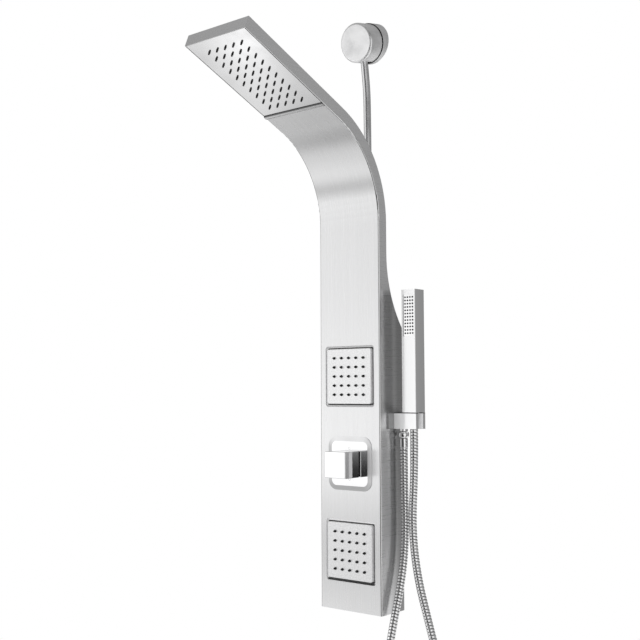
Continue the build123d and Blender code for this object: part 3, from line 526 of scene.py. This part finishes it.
def escutcheon_plate(name, light):
    """A polished plate with a satin bevel in painted light and shade, and a small engraved ring
    above and below the knob.
    """
    shader = Shader(name)
    haze = shader.haze()
    facing = shader.facing()
    flat = shader.under(shader.axes(facing)["Y"], -0.9995, -0.996)
    # Painted light and shade on the bevel, by which way it faces
    upper = shader.over(shader.measure("DOT_PRODUCT", facing, BEVEL_UP), *BEVEL_SPAN)
    bevel = shader.blend(upper, *BEVEL_PAINTED_TONES)
    plain = shader.blend(flat, bevel, light)
    low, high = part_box("diverter_escutcheon")
    middle = (Vector(low) + Vector(high)) / 2
    rings = []
    for rise in (MARK_RISE, -MARK_RISE):
        rings.append(engraved_ring(shader, (middle.x, low[1], middle.z + rise)))
    shader.set(
        Base_Color=shader.blend(shader.maths("MAXIMUM", *rings), plain, light * MARK_TONE),
        Roughness=shader.mix(flat, shader.vary(haze, 0.36, 0.44), shader.vary(haze, 0.05, 0.09)),
        Metallic=1.0,
    )
    return shader.material


# --------------------------------------------------------- dressing the nodes
holder_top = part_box("handset_holder")[1][2]
# Painted shade: the hose's grooves take a dark metal
groove_shade_metal = polished("hose_groove", light=0.10, rough=0.4)
finish = {
    "brushed_face": brushed_steel("brushed_face", light=0.80, rough=0.30),
    "polished_metal": polished("polished_metal", light=0.86),
    "hose_metal": polished("hose_metal", light=0.84),
    "satin_metal": satin("satin_metal", light=0.66, rough=0.42),
    "nozzle_rubber": rubber("nozzle_rubber", dark=0.012),
    "inner_hose": braided("inner_hose", light=0.45, dark=0.16),
    "inner_plastic": moulded("inner_plastic", dark=0.16),
    "inner_brass": brass("inner_brass"),
    "bracket_steel": brushed_steel("bracket_steel", light=0.60, rough=0.36),
}
own = {
    "rain_plate": polished("rain_metal", light=0.84, rough=0.13),
    "rain_trim": bead("bead_metal", light=0.62, dark=0.12),
    "jet_tray_upper": recess("recess_metal", light=0.92),
    "jet_plate_upper": satin("jet_metal", light=0.80, rough=0.34, grain=380, sides=0.15),
    "diverter_escutcheon": escutcheon_plate("escutcheon_metal", light=0.82),
    "handset_body": fronted("handset_metal", light=0.86, top=0.60),
    "handset_holder": fronted(
        "holder_metal", light=0.86, top=SHADE_TONE, line=holder_top - HOLDER_LINE
    ),
    "holder_flange": satin("flange_metal", light=0.42, rough=0.40),
    "wall_drum": polished("drum_metal", light=0.84, rough=0.44),
    "wall_flange": seamed("flange_cover_metal", light=0.80, rough=0.44),
    "supply_tube": polished("tube_metal", light=0.72, rough=0.24),
}
own["jet_tray_lower"] = own["jet_tray_upper"]
own["jet_plate_lower"] = own["jet_plate_upper"]


def dress_nodes():
    """Each CAD node takes its slot's finish, or its own where it has one."""
    for part in frame["record"]["subparts"]:
        node = nodes[part["node"]]
        chosen = own.get(part["node"]) or finish[part["material_slot"]]
        node.data.materials.clear()
        node.data.materials.append(chosen)
        for face in node.data.polygons:
            face.material_index = 0


# --------------------------------------------------------------- mesh helpers
def ring_faces(rings, sides, first=0):
    """Four-sided faces between rings of vertices that follow each other from vertex first on."""
    faces = []
    for ring in range(rings - 1):
        low = first + ring * sides
        for side in range(sides):
            after = (side + 1) % sides
            faces.append((low + side, low + after, low + sides + after, low + sides + side))
    return faces


def add_piece(name, vertices, faces, *materials):
    """A mesh object in the scene."""
    mesh = bpy.data.meshes.new(name)
    mesh.from_pydata(vertices, [], faces)
    mesh.update()
    for material in materials:
        mesh.materials.append(material)
    piece = bpy.data.objects.new(name, mesh)
    bpy.context.scene.collection.objects.link(piece)
    return piece


# ---------------------------------------------------------------- shower hose
HOSE_DIAMETER = 0.0153
HOSE_SIDES = 24
# One rib of the interlocked strip: share of the pitch, share of the radius
RIB_PITCH = 0.006
RIB = [
    (0.0, 0.93),
    (0.05, 0.975),
    (0.14, 0.997),
    (0.40, 1.0),
    (0.66, 0.997),
    (0.75, 0.975),
    (0.80, 0.93),
]
# What lies below this share of the radius is groove
GROOVE = 0.935
SLEEVE_RIBS = 9
SLEEVE_SIZE = 1.02
HOSE_ROUTE = [
    (88, -26.45, -210.0),
    (88, -26.45, -285),
    (88.5, -24.5, -375),
    (88, -33.5, -450),
    (88, -64.5, -535),
    (87, -86, -607),
    (79, -108, -678),
    (77, -125, -751),
    (98, -127, -824),
    (153, -105, -868),
    (217, -68, -859),
    (253, -36, -804),
    (242, -25, -730),
    (206, -28, -666),
    (166, -32, -604),
    (142, -26.5, -540),
    (115.5, -26, -452),
    (105, -26.5, -360),
    (112.25, -26.45, -255),
    (112.25, -26.45, -174),
]


def hose_line():
    """Points along the route's smooth line: a NURBS spline with the route as its controls."""
    curve = bpy.data.curves.new("hose_line", "CURVE")
    curve.dimensions = "3D"
    curve.resolution_u = 48
    spline = curve.splines.new("NURBS")
    spline.points.add(len(HOSE_ROUTE) - 1)
    for point, place in zip(spline.points, HOSE_ROUTE):
        point.co = (place[0] * MM, place[1] * MM, place[2] * MM, 1.0)
    spline.order_u = 3
    spline.use_endpoint_u = True
    holder = bpy.data.objects.new("hose_line", curve)
    bpy.context.scene.collection.objects.link(holder)
    mesh = bpy.data.meshes.new_from_object(holder)
    points = [vertex.co.copy() for vertex in mesh.vertices]
    bpy.data.meshes.remove(mesh)
    bpy.data.objects.remove(holder)
    bpy.data.curves.remove(curve)
    return points


def walk(points, step):
    """Places at equal steps of about step along a line, each with the line's direction there."""
    lengths = [(b - a).length for a, b in zip(points, points[1:])]
    count = max(1, round(sum(lengths) / step))
    step = sum(lengths) / count
    places = []
    passed = 0.0
    index = 0
    for k in range(count + 1):
        target = k * step
        while index < len(lengths) - 1 and passed + lengths[index] < target:
            passed += lengths[index]
            index += 1
        a, b = points[index], points[index + 1]
        share = min(1.0, (target - passed) / max(lengths[index], 1e-9))
        places.append((a.lerp(b, share), (b - a).normalized()))
    return places


def sweep_rings(name, stations, groove):
    """A closed tube of hose metal through stations of (centre, direction, radius).

    Faces between two rings of less than the groove's radius take the groove's dark metal, a painted
    shade."""
    vertices = []
    normal = Vector((1.0, 0.0, 0.0))
    for centre, direction, radius in stations:
        normal = (normal - direction * normal.dot(direction)).normalized()
        across = direction.cross(normal)
        for side in range(HOSE_SIDES):
            angle = 2 * math.pi * side / HOSE_SIDES
            vertices.append(centre + (normal * math.cos(angle) + across * math.sin(angle)) * radius)
    last = (len(stations) - 1) * HOSE_SIDES
    faces = ring_faces(len(stations), HOSE_SIDES)
    faces.append(tuple(range(HOSE_SIDES - 1, -1, -1)))
    faces.append(tuple(range(last, last + HOSE_SIDES)))
    piece = add_piece(name, vertices, faces, finish["hose_metal"], groove_shade_metal)
    for face in piece.data.polygons:
        face.use_smooth = len(face.vertices) == 4
        ring = face.index // HOSE_SIDES
        if ring < len(stations) - 1:
            widest = max(stations[ring][2], stations[ring + 1][2])
            face.material_index = 1 if widest < groove else 0
    return piece


def ribbed_hose(name, line, diameter):
    """The hose's outside: round-shouldered ribs along its line."""
    radius = diameter / 2
    stations = []
    for (a, along_a), (b, along_b) in zip(line, line[1:]):
        for share, size in RIB:
            direction = along_a.lerp(along_b, share).normalized()
            stations.append((a.lerp(b, share), direction, radius * size))
    stations.append((line[-1][0], line[-1][1], radius * RIB[0][1]))
    return sweep_rings(name, stations, radius * GROOVE)


# ------------------------------------------------------ lips of the jet trays
# Each tray's flange reaches this far behind the sheet, past the edge of the opening
TRAY_FLANGE = 0.008
LIP_GAP = 0.0001
LIP_WIDTH = 0.0032
LIP_DEPTH = 0.0026
LIP_THICKNESS = 0.001
LIP_CORNER = 0.006
CORNER_STEPS = 6


def rounded_loop(half_x, half_z, corner):
    """A rounded rectangle round the origin, as points in X and Z."""
    loop = []
    for turn, (sign_x, sign_z) in enumerate(((1, 1), (-1, 1), (-1, -1), (1, -1))):
        for step in range(CORNER_STEPS + 1):
            angle = math.radians(90 * turn + 90 * step / CORNER_STEPS)
            loop.append(
                (
                    sign_x * (half_x - corner) + corner * math.cos(angle),
                    sign_z * (half_z - corner) + corner * math.sin(angle),
                )
            )
    return loop


def lip_finish(name, reach, sill_painted_tone, lintel_painted_tone):
    """Satin metal; the lower and upper runs, past reach from the middle, take painted shade and
    light tones of their own.
    """
    shader = Shader(name)
    mottle = shader.noise(420, 3, 0.6)
    height = shader.axes(shader.place())["Z"]
    skin = shader.greys(mottle, 0.72, 0.84)
    start = reach - 0.0004
    end = reach + 0.0002
    # Painted shade and light on the lower and upper runs
    skin = shader.blend(shader.under(height, -end, -start), skin, sill_painted_tone)
    skin = shader.blend(shader.over(height, start, end), skin, lintel_painted_tone)
    shader.set(
        Base_Color=skin,
        Roughness=shader.vary(mottle, 0.40, 0.50),
        Metallic=0.15,
    )
    return shader.material


def jet_lip(name, tray, sill_painted_tone, lintel_painted_tone):
    """A thin lip inside the mouth of a jet's tray, round the swivelling plate."""
    low, high = (Vector(corner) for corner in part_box(tray))
    middle = (low + high) / 2
    opening_x = (high.x - low.x) / 2 - TRAY_FLANGE
    opening_z = (high.z - low.z) / 2 - TRAY_FLANGE
    half_x = opening_x - LIP_GAP
    half_z = opening_z - LIP_GAP
    # The escutcheon lies on the panel's face
    face_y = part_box("diverter_escutcheon")[1][1]
    near = face_y + LIP_DEPTH
    far = near + LIP_THICKNESS
    outer = rounded_loop(half_x, half_z, LIP_CORNER)
    inner = rounded_loop(half_x - LIP_WIDTH, half_z - LIP_WIDTH, LIP_CORNER - LIP_WIDTH)
    loops = ((outer, near), (inner, near), (inner, far), (outer, far))
    vertices = [(x, depth, z) for loop, depth in loops for x, z in loop]
    count = len(outer)
    faces = []
    for ring in range(len(loops)):
        first = ring * count
        second = (ring + 1) % len(loops) * count
        for k in range(count):
            after = (k + 1) % count
            faces.append((first + k, second + k, second + after, first + after))
    metal = lip_finish(name + "_metal", opening_z - LIP_WIDTH, sill_painted_tone, lintel_painted_tone)
    piece = add_piece(name, vertices, faces, metal)
    piece.location = (middle.x, 0.0, middle.z)
    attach(piece, "column")


# ------------------------------------------------------------------- the room
# The photographer's room as polished metal shows it, by direction round the column.
# 0 is straight ahead of it, 90 is on its right.
ROOM = [
    (-180, 0.16),
    (-120, 0.16),
    (-100, 0.34),
    (-80, 0.50),
    (-66, 1.0),
    (-20, 1.0),
    (-8, 0.03),
    (28, 0.02),
    (34, 0.95),
    (48, 0.95),
    (56, 1.1),
    (70, 1.1),
    (80, 0.72),
    (93, 0.72),
    (104, 0.30),
    (141.5, 0.37),
    (144, 0.29),
    (180, 0.20),
]
# The softbox ahead on the left, by direction and by height
SOFTBOX_TURNS = [(-80, 0.0), (-66, 1.0), (-20, 1.0), (-8, 0.0)]
SOFTBOX = [
    (-0.93, 0.68),
    (-0.76, 0.76),
    (-0.48, 1.32),
    (-0.36, 1.32),
    (-0.15, 1.17),
    (0.15, 1.16),
    (0.35, 1.08),
    (0.9, 1.08),
    (1.4, 0.92),
    (2.4, 0.36),
]
# A dark foot under the pale wall ahead on the right
FOOT_TURNS = [(25, 0.0), (28, 1.0), (43, 1.0), (48, 0.0)]
FOOT_HEIGHTS = [(-0.42, 1.0), (-0.30, 0.0)]
FOOT_TONE = 0.03
FOOT_FLOOR = (26, 43)
# A faint window in the dark straight ahead
WINDOW_TURNS = [(-20, 0.0), (-10, 1.0), (26, 1.0), (32, 0.0)]
WINDOW_HEIGHTS = [(-0.28, 0.0), (-0.18, 1.0), (0.55, 1.0), (0.80, 0.0)]
WINDOW_TONE = 0.30
# The right is dark high up. Away from the column its floor is no paler than the wall behind it.
RIGHT_TURNS = [(-20, 0.0), (0, 1.0), (95, 1.0), (110, 0.0)]
RIGHT_HEIGHTS = [(0.75, 0.0), (1.2, 1.0)]
RIGHT_TONE = 0.20
RIGHT_REACH = [(0.3, 0.0), (0.7, 1.0)]
CEILING = 0.42
FLOOR = 0.90
# Paler and darker patches of the floor: centre, reach, change of tone
FLOOR_PATCHES = [
    ((-1.45, -1.3), 0.9, 0.42),
    ((-1.24, 0.04), 0.24, 0.60),
    ((-1.62, 0.18), 0.34, -0.30),
    ((-0.86, -0.10), 0.55, -0.95),
    ((-1.12, 0.68), 0.48, -0.95),
    ((-1.65, -2.25), 0.9, -0.50),
]
ROOM_RADIUS = 3.0
ROOM_LOW = -0.93
ROOM_HIGH = 3.6
ROOM_SIDES = 180
FLOOR_RINGS = 30
WALL_RINGS = 50
CEILING_RINGS = 10
# A point this near to the ceiling's or the floor's level is part of it
LEVEL_GAP = 0.01


def eased(share):
    """A share, 0..1, that leaves and arrives gently."""
    return share * share * (3 - 2 * share)


def toward(tone, goal, share):
    """tone moved towards goal by a share of the way."""
    return tone + (goal - tone) * share


def between(value, stops):
    """The tone at value along a list of (place, tone) stops, eased between them."""
    for (a, low), (b, high) in zip(stops, stops[1:]):
        if value <= b:
            return toward(low, high, eased(max(0.0, (value - a) / (b - a))))
    return stops[-1][1]


def spot(x, y, centre, reach):
    """1 at a centre on the floor, eased to 0 at reach."""
    return eased(max(0.0, 1.0 - math.hypot(x - centre[0], y - centre[1]) / reach))


def wall_tone(turn, z):
    """The wall's tone by direction and height."""
    tone = between(turn, ROOM)
    foot = between(turn, FOOT_TURNS) * between(z, FOOT_HEIGHTS)
    tone = toward(tone, FOOT_TONE, foot)
    window = between(turn, WINDOW_TURNS) * between(z, WINDOW_HEIGHTS)
    tone = toward(tone, max(tone, WINDOW_TONE), window)
    high = between(turn, RIGHT_TURNS) * between(z, RIGHT_HEIGHTS)
    tone = toward(tone, RIGHT_TONE, high)
    return tone * toward(1.0, between(z, SOFTBOX), between(turn, SOFTBOX_TURNS))


def floor_tone(turn, x, y):
    """The floor's tone by direction and place."""
    pale = FLOOR
    for centre, reach, change in FLOOR_PATCHES:
        pale += change * spot(x, y, centre, reach)
    dark = between(turn, RIGHT_TURNS) * between(math.hypot(x, y), RIGHT_REACH)
    on_foot = FOOT_FLOOR[0] < turn < FOOT_FLOOR[1]
    tone = FOOT_TONE if on_foot else between(turn, ROOM)
    return toward(pale, min(tone, pale), dark)


def room_tone(x, y, z):
    """The tone of a point of the ceiling, the wall or the floor."""
    turn = math.degrees(math.atan2(x, -y))
    if z > ROOM_HIGH - LEVEL_GAP:
        return CEILING
    if z > ROOM_LOW + LEVEL_GAP:
        return wall_tone(turn, z)
    return floor_tone(turn, x, y)


def make_room():
    """A round room of floor, wall and ceiling that only reflections see."""
    tall = ROOM_HIGH - ROOM_LOW
    profile = []
    for k in range(1, FLOOR_RINGS + 1):
        profile.append((ROOM_RADIUS * k / FLOOR_RINGS, ROOM_LOW))
    for k in range(1, WALL_RINGS + 1):
        profile.append((ROOM_RADIUS, ROOM_LOW + tall * k / WALL_RINGS))
    for k in range(CEILING_RINGS - 1, 0, -1):
        profile.append((ROOM_RADIUS * k / CEILING_RINGS, ROOM_HIGH))
    vertices = [(0.0, 0.0, ROOM_LOW)]
    for radius, height in profile:
        for side in range(ROOM_SIDES):
            angle = 2 * math.pi * side / ROOM_SIDES
            vertices.append((radius * math.sin(angle), -radius * math.cos(angle), height))
    faces = [(0, 1 + side, 1 + (side + 1) % ROOM_SIDES) for side in range(ROOM_SIDES)]
    faces += ring_faces(len(profile), ROOM_SIDES, first=1)
    shader = Shader("room")
    shader.tree.nodes.clear()
    tone = shader.add("ShaderNodeAttribute", attribute_name="tone")
    glow = shader.add("ShaderNodeEmission")
    surface = shader.add("ShaderNodeOutputMaterial").inputs["Surface"]
    shader.feed(glow.inputs["Strength"], tone.outputs["Fac"])
    shader.feed(surface, glow.outputs[0])
    piece = add_piece("room", vertices, faces, shader.material)
    tones = piece.data.attributes.new("tone", "FLOAT", "POINT")
    for k, place in enumerate(vertices):
        tones.data[k].value = room_tone(*place)
    piece.visible_camera = False
    piece.visible_diffuse = False
    piece.visible_shadow = False
    piece.visible_transmission = False


# ----------------------------------------------------- world, floor and lamps
PLAIN_LIGHT = 0.6
WHITE_LIGHT = 1.0
STAGE_LOW = -0.95
STAGE_REACH = 12.0
STAGE_TONE = 0.9
STAGE_FADE = (0.95, 1.6)
LAMPS_LOOK_AT = (0, -0.1, 0.0)


def make_world():
    """Plain light, and white for what the camera and reflections see."""
    world = bpy.data.worlds.new("studio")
    bpy.context.scene.world = world
    world.use_nodes = True
    tree = world.node_tree
    tree.nodes.clear()
    ray = tree.nodes.new("ShaderNodeLightPath").outputs
    seen = ray["Is Camera Ray"]
    for kind in ("Is Glossy Ray", "Is Transmission Ray"):
        either = tree.nodes.new("ShaderNodeMath")
        either.operation = "MAXIMUM"
        tree.links.new(seen, either.inputs[0])
        tree.links.new(ray[kind], either.inputs[1])
        seen = either.outputs[0]
    mix = tree.nodes.new("ShaderNodeMixShader")
    tree.links.new(seen, mix.inputs["Fac"])
    for socket, strength in ((1, PLAIN_LIGHT), (2, WHITE_LIGHT)):
        light = tree.nodes.new("ShaderNodeBackground")
        light.inputs["Color"].default_value = (1, 1, 1, 1)
        light.inputs["Strength"].default_value = strength
        tree.links.new(light.outputs[0], mix.inputs[socket])
    out = tree.nodes.new("ShaderNodeOutputWorld")
    tree.links.new(mix.outputs[0], out.inputs["Surface"])


def make_floor():
    """A pale floor well below the hanging hose; far out it blends into the white."""
    shader = Shader("floor")
    shader.set(Base_Color=(STAGE_TONE, STAGE_TONE, STAGE_TONE, 1.0), Roughness=0.9)
    away = shader.measure("DISTANCE", shader.place(), (0.0, 0.0, 0.0))
    glow = shader.add("ShaderNodeEmission")
    shader.feed(glow.inputs["Strength"], 1.0)
    mix = shader.add("ShaderNodeMixShader")
    shader.feed(mix.inputs["Fac"], shader.over(away, *STAGE_FADE))
    shader.feed(mix.inputs[1], shader.bsdf.outputs[0])
    shader.feed(mix.inputs[2], glow.outputs[0])
    shader.feed(shader.tree.nodes["Material Output"].inputs["Surface"], mix.outputs[0])
    signs = ((-1, -1), (1, -1), (1, 1), (-1, 1))
    corners = [(x * STAGE_REACH, y * STAGE_REACH, STAGE_LOW) for x, y in signs]
    piece = add_piece("floor", corners, [(0, 1, 2, 3)], shader.material)


def lamp(name, place, size, power):
    """A square lamp that lights the column and isn't seen in it."""
    data = bpy.data.lights.new(name, "AREA")
    data.shape = "RECTANGLE"
    data.size = size
    data.size_y = size
    data.energy = power
    piece = bpy.data.objects.new(name, data)
    piece.location = place
    look = Vector(LAMPS_LOOK_AT) - Vector(place)
    piece.rotation_euler = look.to_track_quat("-Z", "Y").to_euler()
    piece.visible_glossy = False
    bpy.context.scene.collection.objects.link(piece)


# -------------------------------------------------------------- the whole scene
make_camera()
dress_nodes()

hose_points = hose_line()
rib_places = walk(hose_points, RIB_PITCH)
hose = ribbed_hose("shower_hose_ribbed", rib_places, HOSE_DIAMETER)
# The last ribs under the handset rise with it, over the hose, so that it never parts from it
sleeve_places = rib_places[-1 - SLEEVE_RIBS :]
sleeve = ribbed_hose("shower_hose_end", sleeve_places, HOSE_DIAMETER * SLEEVE_SIZE)
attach(sleeve, "handset")
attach(hose, "column")
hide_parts("shower_hose")

# Painted tones on the lips: grey round the upper plate, painted shade under the lower plate and
# painted light above it
jet_lip("jet_lip_upper", "jet_tray_upper", sill_painted_tone=0.60, lintel_painted_tone=0.60)
jet_lip("jet_lip_lower", "jet_tray_lower", sill_painted_tone=0.01, lintel_painted_tone=0.95)

make_world()
make_floor()
make_room()
lamp("key", (-1.6, -2.4, 1.6), size=1.8, power=22.0)
lamp("fill", (2.2, -1.8, 0.8), size=1.6, power=8.0)
bpy.context.scene.view_settings.view_transform = "Standard"
